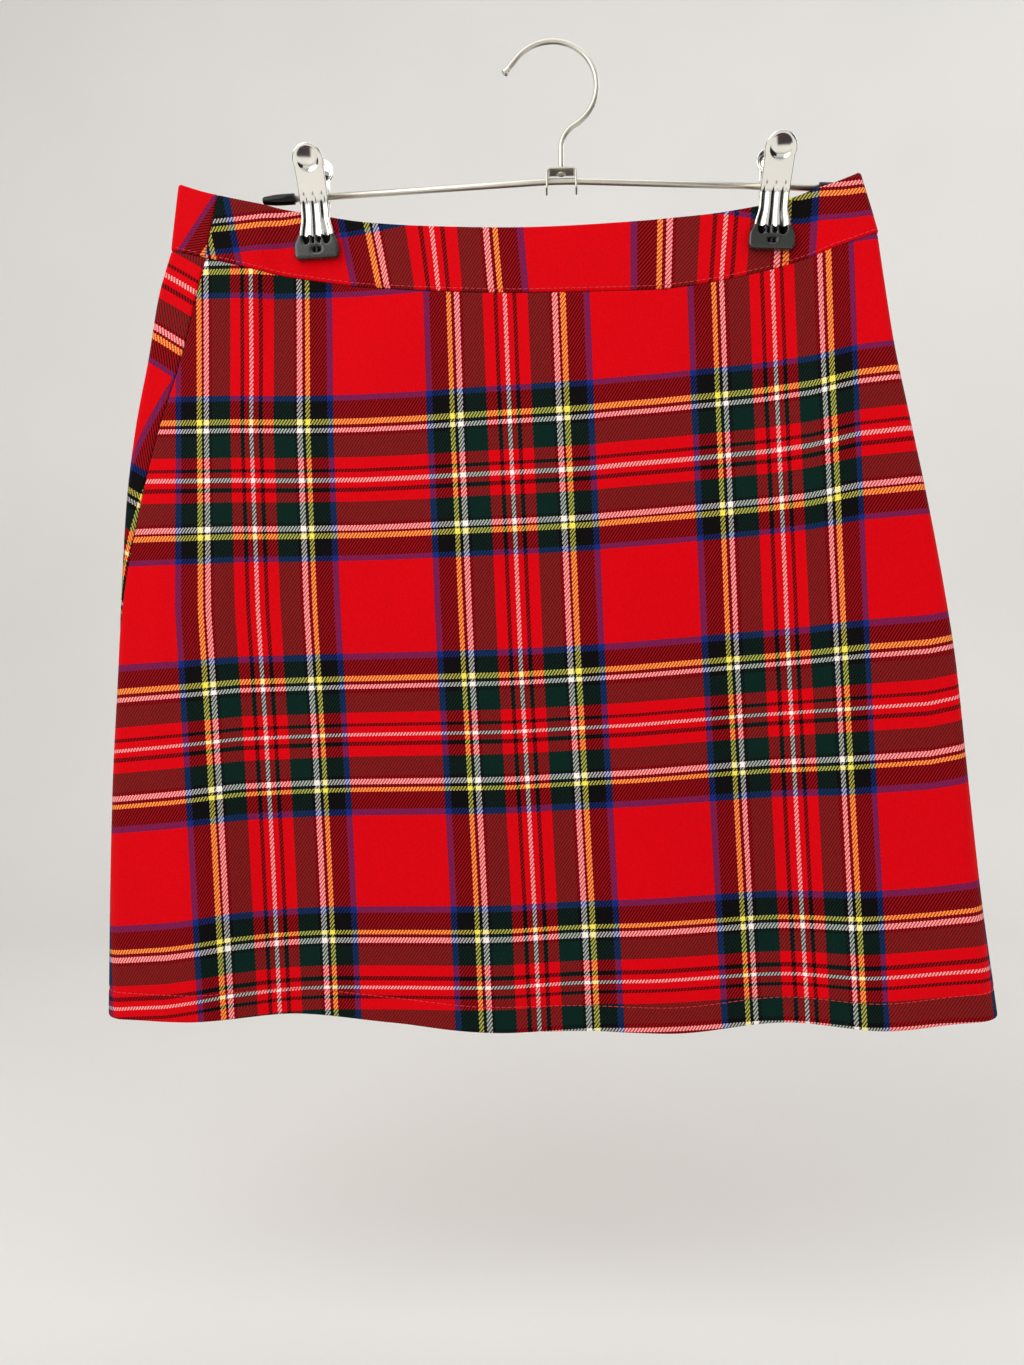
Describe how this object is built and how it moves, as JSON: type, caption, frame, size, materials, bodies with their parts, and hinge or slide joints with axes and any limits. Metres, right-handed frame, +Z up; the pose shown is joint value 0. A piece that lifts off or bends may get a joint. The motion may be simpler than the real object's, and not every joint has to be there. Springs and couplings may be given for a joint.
{
  "type": "tartan skirt on clip hanger",
  "caption": "A-line tartan mini skirt with a shaped waistband, hung flat by clips from a wire hanger.",
  "frame": {"origin": "top of the inside of the hook, where a rail or a peg carries the hanger", "axes": "+Z up along the hanging skirt, +X along the hanger's bar, +Y from the skirt's front to its back"},
  "size_m": [0.4522, 0.0357, 0.5066],
  "materials": {
    "tartan_cloth": "matt two-and-two twill, red tartan with black, blue, green, yellow and white lines",
    "hanger_wire": "satin steel wire",
    "clip_plating": "bright plated pressings",
    "black_vinyl": "soft black dipped vinyl"
  },
  "bodies": {
    "root": {"front_panel": "tartan_cloth", "back_panel": "tartan_cloth", "front_waistband": "tartan_cloth", "back_waistband": "tartan_cloth", "hanger_hook": "hanger_wire", "hanger_saddle": "hanger_wire", "hanger_bar": "hanger_wire", "left_bar_sleeve": "black_vinyl", "right_bar_sleeve": "black_vinyl", "left_clip_front_lever": "clip_plating", "left_clip_back_lever": "clip_plating", "left_clip_coil": "hanger_wire", "left_clip_front_tip": "black_vinyl", "left_clip_back_tip": "black_vinyl", "right_clip_front_lever": "clip_plating", "right_clip_back_lever": "clip_plating", "right_clip_coil": "hanger_wire", "right_clip_front_tip": "black_vinyl", "right_clip_back_tip": "black_vinyl"}
  },
  "joints": []
}
